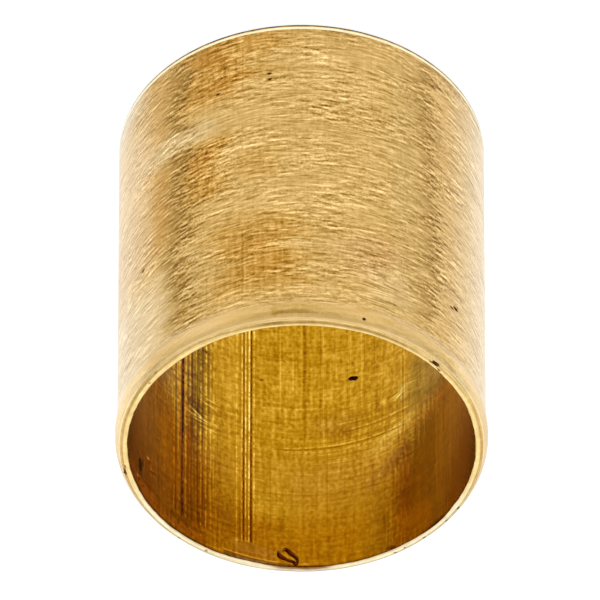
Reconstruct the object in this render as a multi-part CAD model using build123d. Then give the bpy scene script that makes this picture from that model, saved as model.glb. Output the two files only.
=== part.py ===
from build123d import *
import math
import os

# Sleeve that fits over a 6 mm potentiometer shaft and fills the 1/4 inch bore of a knob.
# One length of drawn brass tube, cut off and lightly deburred. Millimetres, +Z along the bore,
# origin at the middle of the plain end that it stands on; the rolled-over cut end is on top.

# Driving dimensions
bore_diameter = 6.00        # clears a 6 mm shaft
outer_diameter = 6.35       # 1/4 inch
length = 7.15               # near 9/32 inch

# Plain end (bottom)
foot_outer_round = 0.06     # outer edge
foot_inner_break = 0.03     # bore edge

# Cut end (top): the cutter rolled the outer edge over and pushed a low swelling below it
lip_proud = 0.040           # the swelling stands this far out of the tube, on the radius
swell_start = 0.56          # distances down from the cut end
swell_peak = 0.27
crest_depth = 0.030         # the outer crest beside the channel
channel_depth = 0.038       # bottom of the fine channel between the crest and the bore lip
roll_depth = 0.047          # where the rolled edge begins, outside the crest
land_break = 0.012          # break of the bore edge

# Radii of the cut end's section, from the axis
roll_radius = 3.134
crest_radius = 3.116
channel_radius = 3.096
land_outer_radius = 3.062

# Knocks in the cut end: (angle in degrees from +X, radius from axis, depth below the cut end, size)
rim_knocks = [
    (-138.2, 3.068, 0.050, 0.046),
    (-135.4, 3.046, 0.026, 0.022),
    (12.0, 3.102, 0.055, 0.036),
    (121.7, 3.078, 0.045, 0.030),
    (125.6, 3.055, 0.030, 0.020),
    (133.1, 3.082, 0.048, 0.028),
    (143.5, 3.082, 0.048, 0.026),
    (150.3, 3.090, 0.052, 0.026),
]

ri = bore_diameter / 2
ro = outer_diameter / 2
rl = ro + lip_proud
L = length


def section():
    """Half section of the wall, in the XZ plane, drawn once round from the bore's foot."""
    with BuildSketch(Plane.XZ) as s:
        with BuildLine():
            # foot
            a0 = (ri + foot_inner_break, 0)
            a1 = (ro - foot_outer_round, 0)
            a2 = (ro, foot_outer_round)
            Line(a0, a1)
            mid = (ro - foot_outer_round * (1 - math.sin(math.radians(45))),
                   foot_outer_round * (1 - math.cos(math.radians(45))))
            ThreePointArc(a1, mid, a2)
            # plain wall up to the swelling
            b0 = (ro, L - swell_start)
            Line(a2, b0)
            # swelling: two equal arcs, tangent to the wall and to each other
            h = swell_start - swell_peak
            half = math.atan2(lip_proud, h)          # half the turn of each arc
            turn = 2 * half
            rad = h / (2 * math.sin(turn))
            b1 = (ro + lip_proud / 2, L - swell_start + h / 2)
            b2 = (rl, L - swell_peak)
            m0 = (ro + rad * (1 - math.cos(turn / 2)), L - swell_start + rad * math.sin(turn / 2))
            m1 = (rl - rad * (1 - math.cos(turn / 2)), L - swell_peak - rad * math.sin(turn / 2))
            ThreePointArc(b0, m0, b1)
            ThreePointArc(b1, m1, b2)
            # rolled edge over to the crest
            c0 = (roll_radius, L - roll_depth)
            ThreePointArc(b2, (3.1941, L - 0.1514), c0)
            c1 = (crest_radius, L - crest_depth)
            ThreePointArc(c0, (3.1265, L - 0.0365), c1)
            # fine channel between the crest and the bore lip
            d0 = (channel_radius, L - channel_depth)
            ThreePointArc(c1, (3.1070, L - 0.0330), d0)
            d1 = (land_outer_radius, L - 0.007)
            ThreePointArc(d0, (3.0760, L - 0.0275), d1)
            # bore lip
            e0 = (land_outer_radius - 0.008, L)
            e1 = (ri + land_break, L)
            e2 = (ri, L - land_break)
            Line(d1, e0)
            Line(e0, e1)
            Line(e1, e2)
            # bore, down to the foot
            f0 = (ri, foot_inner_break)
            Line(e2, f0)
            Line(f0, a0)
        make_face()
    return s.sketch


def knock(angle, radius, depth, size):
    """A small rounded dent, longer round the rim than across it."""
    t = math.radians(angle)
    ball = Sphere(size)
    return Pos(radius * math.cos(t), radius * math.sin(t), L - depth + size * 0.55) * ball


sleeve = revolve(section(), Axis.Z)
if isinstance(sleeve, (list, ShapeList)):
    sleeve = sleeve[0]
for k in rim_knocks:
    sleeve = sleeve - knock(*k)
solids = sleeve.solids()
assert len(solids) == 1, len(solids)
sleeve = solids[0]
sleeve.label = "sleeve"
sleeve.color = Color(0.80, 0.64, 0.30)

os.makedirs("parts", exist_ok=True)
export_step(sleeve, "parts/sleeve.step")

box = sleeve.bounding_box()
print("sleeve volume mm3", round(sleeve.volume, 4), "valid", sleeve.is_valid)
print("box", tuple(round(v, 4) for v in box.min), tuple(round(v, 4) for v in box.max))
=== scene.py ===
import math

import bpy
import numpy as np
from mathutils import Matrix, Vector


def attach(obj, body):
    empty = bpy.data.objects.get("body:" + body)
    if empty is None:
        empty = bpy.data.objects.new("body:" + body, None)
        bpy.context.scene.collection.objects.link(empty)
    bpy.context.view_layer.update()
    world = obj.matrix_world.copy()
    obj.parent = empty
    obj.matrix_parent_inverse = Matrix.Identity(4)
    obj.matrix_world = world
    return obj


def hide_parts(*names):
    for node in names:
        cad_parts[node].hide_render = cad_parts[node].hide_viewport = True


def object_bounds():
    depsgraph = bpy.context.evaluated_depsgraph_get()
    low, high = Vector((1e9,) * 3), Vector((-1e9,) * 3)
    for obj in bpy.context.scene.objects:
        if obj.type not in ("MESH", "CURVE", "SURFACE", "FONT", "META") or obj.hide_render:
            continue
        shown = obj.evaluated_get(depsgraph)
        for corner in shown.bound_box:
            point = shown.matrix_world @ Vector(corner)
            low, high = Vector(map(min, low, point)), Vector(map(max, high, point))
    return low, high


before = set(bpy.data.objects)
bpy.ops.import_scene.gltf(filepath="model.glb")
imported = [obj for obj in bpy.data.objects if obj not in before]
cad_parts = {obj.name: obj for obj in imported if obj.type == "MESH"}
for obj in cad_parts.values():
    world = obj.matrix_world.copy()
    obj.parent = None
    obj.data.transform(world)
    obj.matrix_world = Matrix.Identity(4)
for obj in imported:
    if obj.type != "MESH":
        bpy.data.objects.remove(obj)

CAD_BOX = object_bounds()
MM = 0.001

# ----------------------------------------------------------------------------------------------
# Sizes, in millimetres, the same as the CAD part's
# ----------------------------------------------------------------------------------------------
RI, RO, L = 3.0, 3.175, 7.15
FOOT_ROUND, FOOT_BREAK = 0.06, 0.03
LIP, SWELL_START, SWELL_PEAK = 0.040, 0.56, 0.27
RL = RO + LIP
ROLL_R, ROLL_D = 3.134, 0.047
CREST_R, CREST_D = 3.116, 0.030
CHANNEL_R, CHANNEL_D = 3.096, 0.038
LAND_R, LAND_BREAK = 3.062, 0.012
# (angle, radius, depth below the cut end, size)
KNOCKS = [
    (-139.2, 3.078, 0.044, 0.024),
    (-138.5, 3.076, 0.048, 0.030),
    (-137.8, 3.074, 0.046, 0.028),
    (-137.2, 3.072, 0.042, 0.022),
    (-135.4, 3.046, 0.026, 0.022),
    (12.0, 3.102, 0.055, 0.036),
    (121.7, 3.078, 0.045, 0.030),
    (125.6, 3.055, 0.030, 0.020),
    (133.1, 3.082, 0.048, 0.028),
    (143.5, 3.082, 0.048, 0.026),
    (150.3, 3.090, 0.052, 0.026),
]


def arc3(a, m, b, n):
    """n points after a along the circle through a, m and b, ending on b."""
    (ax, ay), (mx, my), (bx, by) = a, m, b
    d = 2 * (ax * (my - by) + mx * (by - ay) + bx * (ay - my))
    ux = ((ax**2 + ay**2) * (my - by) + (mx**2 + my**2) * (by - ay) + (bx**2 + by**2) * (ay - my)) / d
    uy = ((ax**2 + ay**2) * (bx - mx) + (mx**2 + my**2) * (ax - bx) + (bx**2 + by**2) * (mx - ax)) / d
    r = math.hypot(ax - ux, ay - uy)
    t0, tm, t1 = (math.atan2(p[1] - uy, p[0] - ux) for p in (a, m, b))

    def unwrap(t, ref):
        while t - ref > math.pi:
            t -= 2 * math.pi
        while t - ref < -math.pi:
            t += 2 * math.pi
        return t

    tm = unwrap(tm, t0)
    t1 = unwrap(t1, tm)
    return [(ux + r * math.cos(t0 + (t1 - t0) * i / n), uy + r * math.sin(t0 + (t1 - t0) * i / n)) for i in range(1, n + 1)]


def line(a, b, n):
    return [(a[0] + (b[0] - a[0]) * i / n, a[1] + (b[1] - a[1]) * i / n) for i in range(1, n + 1)]


# ----------------------------------------------------------------------------------------------
# Marks, placed by arc length and height in mm. On the outside arc 0 faces -Y and grows towards -X;
# in the bore arc 0 faces -Y from the +Y side and grows towards -X.
# ----------------------------------------------------------------------------------------------
# outside pits: arc, height, half width, half height, depth
PITS_OUT = [
    (-0.560, 1.176, 0.034, 0.024, 0.016),
    (-0.552, 1.310, 0.034, 0.024, 0.016),
    (-1.500, 1.388, 0.042, 0.024, 0.012),
    (-1.430, 1.030, 0.026, 0.020, 0.008),
    (1.085, 6.998, 0.030, 0.024, 0.014),
    (3.140, 5.520, 0.070, 0.036, 0.016),
    (3.020, 5.580, 0.050, 0.024, 0.010),
    (-3.290, 4.480, 0.050, 0.028, 0.010),
]
# bore pits: arc, height, half width, half height, depth (below 0 stands proud)
PITS_IN = [
    (0.890, 2.700, 0.062, 0.048, 0.022),
    (0.948, 2.716, 0.052, 0.050, 0.022),
    (-3.563, 6.520, 0.062, 0.160, 0.024),
    (-3.235, 6.085, 0.058, 0.052, -0.020),
    (-3.100, 6.255, 0.064, 0.030, -0.014),
    (-3.642, 6.844, 0.056, 0.050, -0.018),
    (-3.440, 6.860, 0.040, 0.030, -0.010),
]
# where the bore's lip is bent: arc, half width, outwards by
LIP_BENDS = [
    (-0.94, 0.52, -0.020),
    (0.16, 0.36, 0.011),
    (2.62, 0.62, 0.016),
]
# a curl of swarf that hangs from the far lip: arc, height, half thickness
SWARF = [
    (-0.326, 6.760, 0.010), (-0.303, 6.728, 0.020), (-0.262, 6.722, 0.026), (-0.218, 6.768, 0.029), (-0.170, 6.824, 0.028), (-0.120, 6.862, 0.028),
    (-0.088, 6.910, 0.027), (-0.072, 6.975, 0.026), (-0.082, 7.040, 0.024), (-0.104, 7.066, 0.020), (-0.136, 7.016, 0.021), (-0.184, 6.990, 0.018),
    (-0.244, 6.972, 0.017), (-0.286, 6.944, 0.022), (-0.326, 6.922, 0.027), (-0.374, 6.884, 0.030), (-0.402, 6.834, 0.027), (-0.404, 6.774, 0.014),
]


# lines drawn along the bore: arc, half width, depth (below 0 stands proud), from height, to height
GROOVES = [
    (-1.066, 0.014, -0.003, 0.0, 6.70),
    (-1.020, 0.020, 0.008, 0.0, 6.70),
    (-0.991, 0.014, -0.003, 0.0, 6.70),
    (-0.924, 0.018, -0.004, 0.0, 6.70),
    (-0.886, 0.018, 0.007, 0.0, 6.70),
    (-2.366, 0.016, -0.003, 0.0, 6.80),
    (-2.280, 0.026, 0.009, 0.0, 6.80),
    (-2.204, 0.016, -0.003, 0.0, 6.76),
    (-2.070, 0.020, 0.004, 0.0, 6.60),
    (0.050, 0.024, 0.004, 0.0, 4.25),
]


def profile():
    """The wall's section as a closed loop of (r, z, part), from the bore's foot out, up, over the cut end and down the bore."""
    pts = []

    def add(points, part):
        pts.extend((r, z, part) for r, z in points)

    a0, a1, a2 = (RI + FOOT_BREAK, 0.0), (RO - FOOT_ROUND, 0.0), (RO, FOOT_ROUND)
    add([a0], "foot")
    add(line(a0, a1, 2), "foot")
    c = 1 - math.sqrt(0.5)
    add(arc3(a1, (RO - FOOT_ROUND * c, FOOT_ROUND * c), a2, 6), "outer")
    # plain wall, with closer rows where there are pits
    b0z = L - SWELL_START
    rows = set(np.round(np.linspace(FOOT_ROUND, b0z, 16)[1:], 4))
    for arc, z, w, h, d in PITS_OUT:
        for k in (-1.3, -0.8, -0.4, 0, 0.4, 0.8, 1.3):
            zz = z + k * h
            if FOOT_ROUND < zz < b0z - 0.01:
                rows.add(round(zz, 4))
    rows = sorted(rows)
    kept = []
    for z in rows:
        if not kept or z - kept[-1] > 0.006:
            kept.append(z)
    kept[-1] = b0z
    add([(RO, z) for z in kept], "outer")
    h = SWELL_START - SWELL_PEAK
    half = math.atan2(LIP, h)
    turn = 2 * half
    rad = h / (2 * math.sin(turn))
    b0, b1, b2 = (RO, b0z), (RO + LIP / 2, b0z + h / 2), (RL, L - SWELL_PEAK)
    m0 = (RO + rad * (1 - math.cos(turn / 2)), b0z + rad * math.sin(turn / 2))
    m1 = (RL - rad * (1 - math.cos(turn / 2)), L - SWELL_PEAK - rad * math.sin(turn / 2))
    add(arc3(b0, m0, b1, 6), "outer")
    add(arc3(b1, m1, b2, 6), "outer")
    c0 = (ROLL_R, L - ROLL_D)
    add(arc3(b2, (3.1941, L - 0.1514), c0, 10), "outer")
    c1 = (CREST_R, L - CREST_D)
    add(arc3(c0, (3.1265, L - 0.0365), c1, 3), "rim")
    d0 = (CHANNEL_R, L - CHANNEL_D)
    add(arc3(c1, (3.1070, L - 0.0330), d0, 3), "rim")
    d1 = (LAND_R, L - 0.007)
    add(arc3(d0, (3.0760, L - 0.0275), d1, 5), "rim")
    e0, e1, e2 = (LAND_R - 0.008, L), (RI + LAND_BREAK, L), (RI, L - LAND_BREAK)
    add(line(d1, e0, 2), "rim")
    add(line(e0, e1, 3), "rim")
    add(line(e1, e2, 3), "rim")
    # bore, down to the foot
    rows = set(np.round(np.linspace(L - LAND_BREAK, FOOT_BREAK, 16)[1:], 4))
    rows |= {round(L - LAND_BREAK - s, 4) for s in (0.02, 0.045, 0.075, 0.11, 0.16, 0.23, 0.32)}
    for arc, z, w, h, d in PITS_IN:
        for k in (-1.4, -1.0, -0.6, -0.25, 0.1, 0.45, 0.8, 1.2):
            rows.add(round(z + k * h, 4))
    rows = sorted(rows, reverse=True)
    kept = []
    for z in rows:
        if not kept or kept[-1] - z > 0.006:
            kept.append(z)
    kept[-1] = FOOT_BREAK
    add([(RI, z) for z in kept], "bore")
    return pts  # the last point joins the first across the foot's bore break


def columns():
    """Angles round the axis, in radians, closer together near the marks."""
    base = 372
    angles = [(t, 0) for t in np.arange(base) * 2 * math.pi / base - math.pi]

    def near(theta, width, steps=(-1.0, -0.6, -0.2, 0.2, 0.6, 1.0)):
        for k in steps:
            t = theta + k * width
            angles.append(((t + math.pi) % (2 * math.pi) - math.pi, 1))

    for deg, r, d, size in KNOCKS:
        near(math.radians(deg), size / 3.1)
    for arc, z, w, h, d in PITS_OUT:
        near(-math.pi / 2 - arc / RO, w / RO)
    for arc, z, w, h, d in PITS_IN:
        near(math.pi / 2 + arc / RI, w / RI)
    for arc, w, d, z0, z1 in GROOVES:
        near(math.pi / 2 + arc / RI, w / RI, (-1.0, -0.45, 0.0, 0.45, 1.0))
    # the ragged stretch of the bore lip
    for deg in np.arange(-64, -34, 1.5):
        angles.append((math.radians(deg), 1))
    out = []
    for t, kind in sorted(angles):
        if out and t - out[-1][0] < 0.0016:
            if kind > out[-1][1]:
                out[-1] = (t, kind)
            continue
        out.append((t, kind))
    return np.array([t for t, kind in out])


def noise1(theta, seed, n, falloff=1.0):
    """Smooth periodic noise round the axis, about -1 to 1."""
    rng = np.random.default_rng(seed)
    out = np.zeros_like(theta)
    total = 0
    for k in range(1, n + 1):
        a = 1 / k**falloff
        out += a * np.sin(k * theta + rng.uniform(0, 2 * math.pi)) * rng.uniform(0.5, 1)
        total += a * a / 2
    return out / math.sqrt(total)


def curl(path, sides=10, fine=4):
    """A thin curl lying on the bore's wall, as vertices, faces and a map of each face's corners."""
    p = np.array(path)
    dense = []
    for k in range(len(p) - 1):
        a, b, c, d = p[max(k - 1, 0)], p[k], p[k + 1], p[min(k + 2, len(p) - 1)]
        for t in np.arange(fine) / fine:
            dense.append(0.5 * (2 * b + (c - a) * t + (2 * a - 5 * b + 4 * c - d) * t**2 + (3 * b - a - 3 * c + d) * t**3))
    dense.append(p[-1])
    dense = np.array(dense)
    phi, thick = dense[:, 0] / RI, dense[:, 2]
    inward = np.stack([np.sin(phi), -np.cos(phi), np.zeros_like(phi)], -1)
    mid = np.stack([-RI * np.sin(phi), RI * np.cos(phi), dense[:, 1]], -1) + inward * (thick * 0.7)[:, None]
    along = np.gradient(mid, axis=0)
    along /= np.linalg.norm(along, axis=1)[:, None]
    side = np.cross(along, inward)
    side /= np.linalg.norm(side, axis=1)[:, None]
    ang = np.arange(sides) * 2 * math.pi / sides
    ring = side[:, None, :] * np.cos(ang)[None, :, None] + inward[:, None, :] * np.sin(ang)[None, :, None]
    verts = (mid[:, None, :] + ring * thick[:, None, None]).reshape(-1, 3)
    n = len(dense)
    faces, corners = [], []
    for i in range(n - 1):
        for j in range(sides):
            j2 = (j + 1) % sides
            faces.append([i * sides + j, (i + 1) * sides + j, (i + 1) * sides + j2, i * sides + j2])
            corners.append([(i / n, j / sides), ((i + 1) / n, j / sides), ((i + 1) / n, (j + 1) / sides), (i / n, (j + 1) / sides)])
    faces.append([j for j in range(sides)])
    corners.append([(0, j / sides) for j in range(sides)])
    faces.append([(n - 1) * sides + j for j in range(sides - 1, -1, -1)])
    corners.append([(1, j / sides) for j in range(sides - 1, -1, -1)])
    return verts, faces, corners


def build_sleeve():
    prof = profile()
    th = columns()
    nr, nc = len(prof), len(th)
    r = np.array([p[0] for p in prof])
    z = np.array([p[1] for p in prof])
    part = [p[2] for p in prof]
    T = np.repeat(th[None, :], nr, 0)
    R = np.repeat(r[:, None], nc, 1)
    Z = np.repeat(z[:, None], nc, 1)

    arc_out = ((-math.pi / 2 - T + math.pi) % (2 * math.pi) - math.pi) * RO
    arc_in = ((T - math.pi / 2 + math.pi) % (2 * math.pi) - math.pi) * RI
    outer = np.array([p in ("outer",) for p in part])[:, None] & np.ones_like(R, bool)
    bore = np.array([p == "bore" for p in part])[:, None] & np.ones_like(R, bool)
    rim = np.array([p == "rim" for p in part])[:, None] & np.ones_like(R, bool)

    # pits
    for arc, zz, w, h, d in PITS_OUT:
        q = ((arc_out - arc) / w) ** 2 + ((Z - zz) / h) ** 2
        R = R - np.where(outer, d * np.clip(1 - q, 0, None) ** 0.6, 0)
    for arc, zz, w, h, d in PITS_IN:
        q = ((arc_in - arc) / w) ** 2 + ((Z - zz) / h) ** 2
        R = R + np.where(bore, d * np.clip(1 - q, 0, None) ** 0.6, 0)

    for arc, w, d, z0, z1 in GROOVES:
        q = np.clip(1 - ((arc_in - arc) / w) ** 2, 0, None)
        along = np.clip((z1 - Z) / 0.12, 0, 1) * np.clip((Z - z0) / 0.05, 0, 1)
        uneven = 1 + 0.35 * np.sin(Z * 7.3 + arc * 11) * np.sin(Z * 2.9 + arc * 5)
        R = R + np.where(bore, d * q * along * uneven, 0)

    for arc, w, d in LIP_BENDS:
        q = np.clip(1 - ((arc_in - arc) / w) ** 2, 0, None) ** 1.5
        R = R + np.where(bore, d * q * np.clip((Z - (L - 0.09)) / 0.078, 0, 1) ** 1.5, 0)
        R = R + np.where(rim, d * q * np.clip((3.058 - np.repeat(r[:, None], nc, 1)) / 0.046, 0, 1), 0)

    # the land beside the bore is wider at the sides and back than at the front
    off = np.abs((np.degrees(T) + 103 + 180) % 360 - 180)
    t = np.clip((off - 20) / 34, 0, 1)
    wide = -0.018 + 0.036 * t * t * (3 - 2 * t)
    share = np.interp(R, [RI + LAND_BREAK, LAND_R, CHANNEL_R, CREST_R, ROLL_R], [0, 1, 1, 0.45, 0])
    R = R + np.where(rim, wide * share, 0)

    # slow unevenness of the cut end
    up = np.clip((Z - (L - 0.30)) / 0.30, 0, 1) * (outer | rim)
    R = R + up * 0.0022 * noise1(T, 3, 24, 0.5) * (rim * 1.0 + outer * 0.6)
    Z = Z - (rim & (Z > L - 0.2)) * np.clip(0.0018 * (1 + noise1(T, 4, 40, 0.4)), 0, 0.006)

    # ragged burr of the bore lip, hanging into the bore over part of its round
    deg = np.degrees(T)
    swell = np.exp(-((np.clip(np.abs(deg + 49) - 9, 0, None) / 4.5) ** 2))
    ragged = 0.009 * swell * (1 + 0.20 * noise1(T, 5, 90, 0.25))
    fine = 0.0035 * (1 + noise1(T, 6, 120, 0.3))
    edge = (rim & (R < RI + 0.03)).astype(float)
    R = R - edge * (ragged + fine) * np.clip((RI + 0.03 - R) / 0.03, 0, 1)

    X, Y = R * np.cos(T), R * np.sin(T)

    # knocks: what lies inside each ball is pushed to its far side
    for ang, rad, depth, size in KNOCKS:
        t = math.radians(ang)
        c = np.array([rad * math.cos(t), rad * math.sin(t), L - depth + size * 0.55])
        V = np.stack([X - c[0], Y - c[1], Z - c[2]], -1)
        dist = np.linalg.norm(V, axis=-1)
        inside = (dist < size) & ~bore
        k = np.where(inside, size / np.maximum(dist, 1e-6), 1.0)
        X, Y, Z = c[0] + V[..., 0] * k, c[1] + V[..., 1] * k, np.minimum(c[2] + V[..., 2] * k, L)

    co = np.stack([X, Y, Z], -1).reshape(-1, 3) * MM
    lo, hi = np.array(CAD_BOX[0]), np.array(CAD_BOX[1])
    co = np.clip(co, lo, hi)

    i = np.arange(nr)[:, None] * nc
    j = np.arange(nc)[None, :]
    i2 = ((np.arange(nr) + 1) % nr)[:, None] * nc
    j2 = ((np.arange(nc) + 1) % nc)[None, :]
    quads = np.stack([i + j, i + j2, i2 + j2, i2 + j], -1).reshape(-1, 4)

    extra, extra_faces, extra_corners = curl(SWARF)
    count = len(co)
    me = bpy.data.meshes.new("sleeve")
    me.from_pydata(co.tolist() + (extra * MM).tolist(), [], quads.tolist() + [[count + v for v in f] for f in extra_faces])
    me.update()

    # maps: by corner, so that nothing runs back across a seam
    s = np.concatenate([[0], np.cumsum(np.hypot(np.diff(r), np.diff(z)))])
    nxt = [part[(k + 1) % nr] for k in range(nr)]
    face_part = []
    for k in range(nr):
        face_part.append(nxt[k] if k < nr - 1 else "foot")
    face_part = np.array(face_part)
    bands = {"outer": (0.015, 0.405), "bore": (0.425, 0.770), "rim": (0.810, 0.915), "foot": (0.935, 0.985)}
    v_bake = np.zeros((nr, 2))
    for name, (v0, v1) in bands.items():
        ks = np.where(face_part == name)[0]
        # the foot's bore break closes the loop
        order = list(ks) if name != "foot" else [nr - 1] + [k for k in ks if k != nr - 1]
        lens = []
        for k in order:
            k2 = (k + 1) % nr
            lens.append(max(math.hypot(r[k2] - r[k], z[k2] - z[k]), 1e-6))
        cum = np.concatenate([[0], np.cumsum(lens)]) / sum(lens)
        for n, k in enumerate(order):
            v_bake[k] = (v0 + (v1 - v0) * cum[n], v0 + (v1 - v0) * cum[n + 1])
    th_next = np.append(th[1:], th[0] + 2 * math.pi)
    flat = np.zeros((nr, nc, 4, 2), np.float32)
    bake = np.zeros((nr, nc, 4, 2), np.float32)
    for k in range(nr):
        p = face_part[k]
        k2 = (k + 1) % nr
        ta, tb = th, th_next
        if p in ("bore",):
            a = (ta - math.pi / 2 + math.pi) % (2 * math.pi) - math.pi
            scale = RI
        else:
            a = (-math.pi / 2 - ta + math.pi) % (2 * math.pi) - math.pi
            scale = RO
        step = (tb - ta) * (1 if p == "bore" else -1)
        b = a + step
        ua, ub = a * scale, b * scale
        va, vb = (z[k], z[k2]) if p in ("outer", "bore") else (r[k], r[k2])
        flat[k, :, 0] = np.stack([ua, np.full(nc, va)], -1)
        flat[k, :, 1] = np.stack([ub, np.full(nc, va)], -1)
        flat[k, :, 2] = np.stack([ub, np.full(nc, vb)], -1)
        flat[k, :, 3] = np.stack([ua, np.full(nc, vb)], -1)
        wa = 0.01 + 0.98 * (ta + math.pi) / (2 * math.pi)
        wb = 0.01 + 0.98 * (tb + math.pi) / (2 * math.pi)
        wa = np.clip(wa, 0.0, 1.0)
        wb = np.clip(wb, 0.0, 1.0)
        y0, y1 = v_bake[k]
        bake[k, :, 0] = np.stack([wa, np.full(nc, y0)], -1)
        bake[k, :, 1] = np.stack([wb, np.full(nc, y0)], -1)
        bake[k, :, 2] = np.stack([wb, np.full(nc, y1)], -1)
        bake[k, :, 3] = np.stack([wa, np.full(nc, y1)], -1)
    on_curl = np.array([c for face in extra_corners for c in face], np.float32)
    bake = np.concatenate([bake.reshape(-1, 2), on_curl * np.array([0.40, 0.022], np.float32) + np.array([0.02, 0.780], np.float32)])
    flat = np.concatenate([flat.reshape(-1, 2), on_curl])
    me.uv_layers.new(name="OFBake")
    me.uv_layers.new(name="Flat")
    me.uv_layers["OFBake"].uv.foreach_set("vector", bake.reshape(-1))
    me.uv_layers["Flat"].uv.foreach_set("vector", flat.reshape(-1))
    me.uv_layers.active = me.uv_layers["OFBake"]

    index = {"outer": 0, "rim": 1, "bore": 2, "foot": 1}
    mats = np.repeat(np.array([index[p] for p in face_part])[:, None], nc, 1).reshape(-1)
    mats = np.concatenate([mats, np.full(len(extra_faces), 3)])
    me.polygons.foreach_set("material_index", mats.astype(np.int32))
    me.polygons.foreach_set("use_smooth", np.ones(len(mats), bool))
    me.validate()
    me.update()
    print("SLEEVE rows", nr, "columns", nc, "triangles", 2 * nr * nc + 2 * len(extra_faces) + 16)
    ob = bpy.data.objects.new("brass_sleeve", me)
    bpy.context.scene.collection.objects.link(ob)
    return ob


sleeve = build_sleeve()
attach(sleeve, "root")
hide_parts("sleeve")


# ----------------------------------------------------------------------------------------------
# Materials
# ----------------------------------------------------------------------------------------------
class Field:
    """A number that varies over the surface, with ordinary arithmetic."""

    def __init__(self, tree, socket):
        self.tree, self.socket = tree, socket

    def op(self, kind, *others, clamp=False):
        n = self.tree.nodes.new("ShaderNodeMath")
        n.operation, n.use_clamp = kind, clamp
        for k, x in enumerate((self,) + others):
            if isinstance(x, Field):
                self.tree.links.new(x.socket, n.inputs[k])
            else:
                n.inputs[k].default_value = x
        return Field(self.tree, n.outputs[0])

    def __add__(self, o):
        return self.op("ADD", o)

    __radd__ = __add__

    def __sub__(self, o):
        return self.op("SUBTRACT", o)

    def __rsub__(self, o):
        return self.op("MULTIPLY_ADD", -1.0, o)

    def __mul__(self, o):
        return self.op("MULTIPLY", o)

    __rmul__ = __mul__

    def __truediv__(self, o):
        return self.op("DIVIDE", o)

    def plus(self, o, times):
        """self + o * times."""
        return o.op("MULTIPLY_ADD", times, self)

    def abs(self):
        return self.op("ABSOLUTE")

    def min(self, o):
        return self.op("MINIMUM", o)

    def max(self, o):
        return self.op("MAXIMUM", o)

    def sqrt(self):
        return self.op("SQRT")

    def pow(self, o):
        return self.op("POWER", o)

    def clamp(self):
        return self.op("ADD", 0.0, clamp=True)

    def ss(self, a, b, low=0.0, high=1.0):
        """low at a, high at b, smooth between."""
        n = self.tree.nodes.new("ShaderNodeMapRange")
        n.interpolation_type = "SMOOTHSTEP"
        n.clamp = False                     # a smooth step never passes its ends
        self.tree.links.new(self.socket, n.inputs[0])
        n.inputs[1].default_value, n.inputs[2].default_value = a, b
        n.inputs[3].default_value, n.inputs[4].default_value = low, high
        return Field(self.tree, n.outputs[0])

    def within(self, a, b, soft):
        """1 between a and b, with edges that are soft wide."""
        mid, half = (a + b) / 2, (b - a) / 2
        return (self - mid).abs().ss(half + soft, half - soft)

    def peak(self, at, half, high=1.0):
        """A rounded ridge, high at its middle."""
        return (self - at).abs().ss(half, 0.0, 0.0, high)


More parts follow.
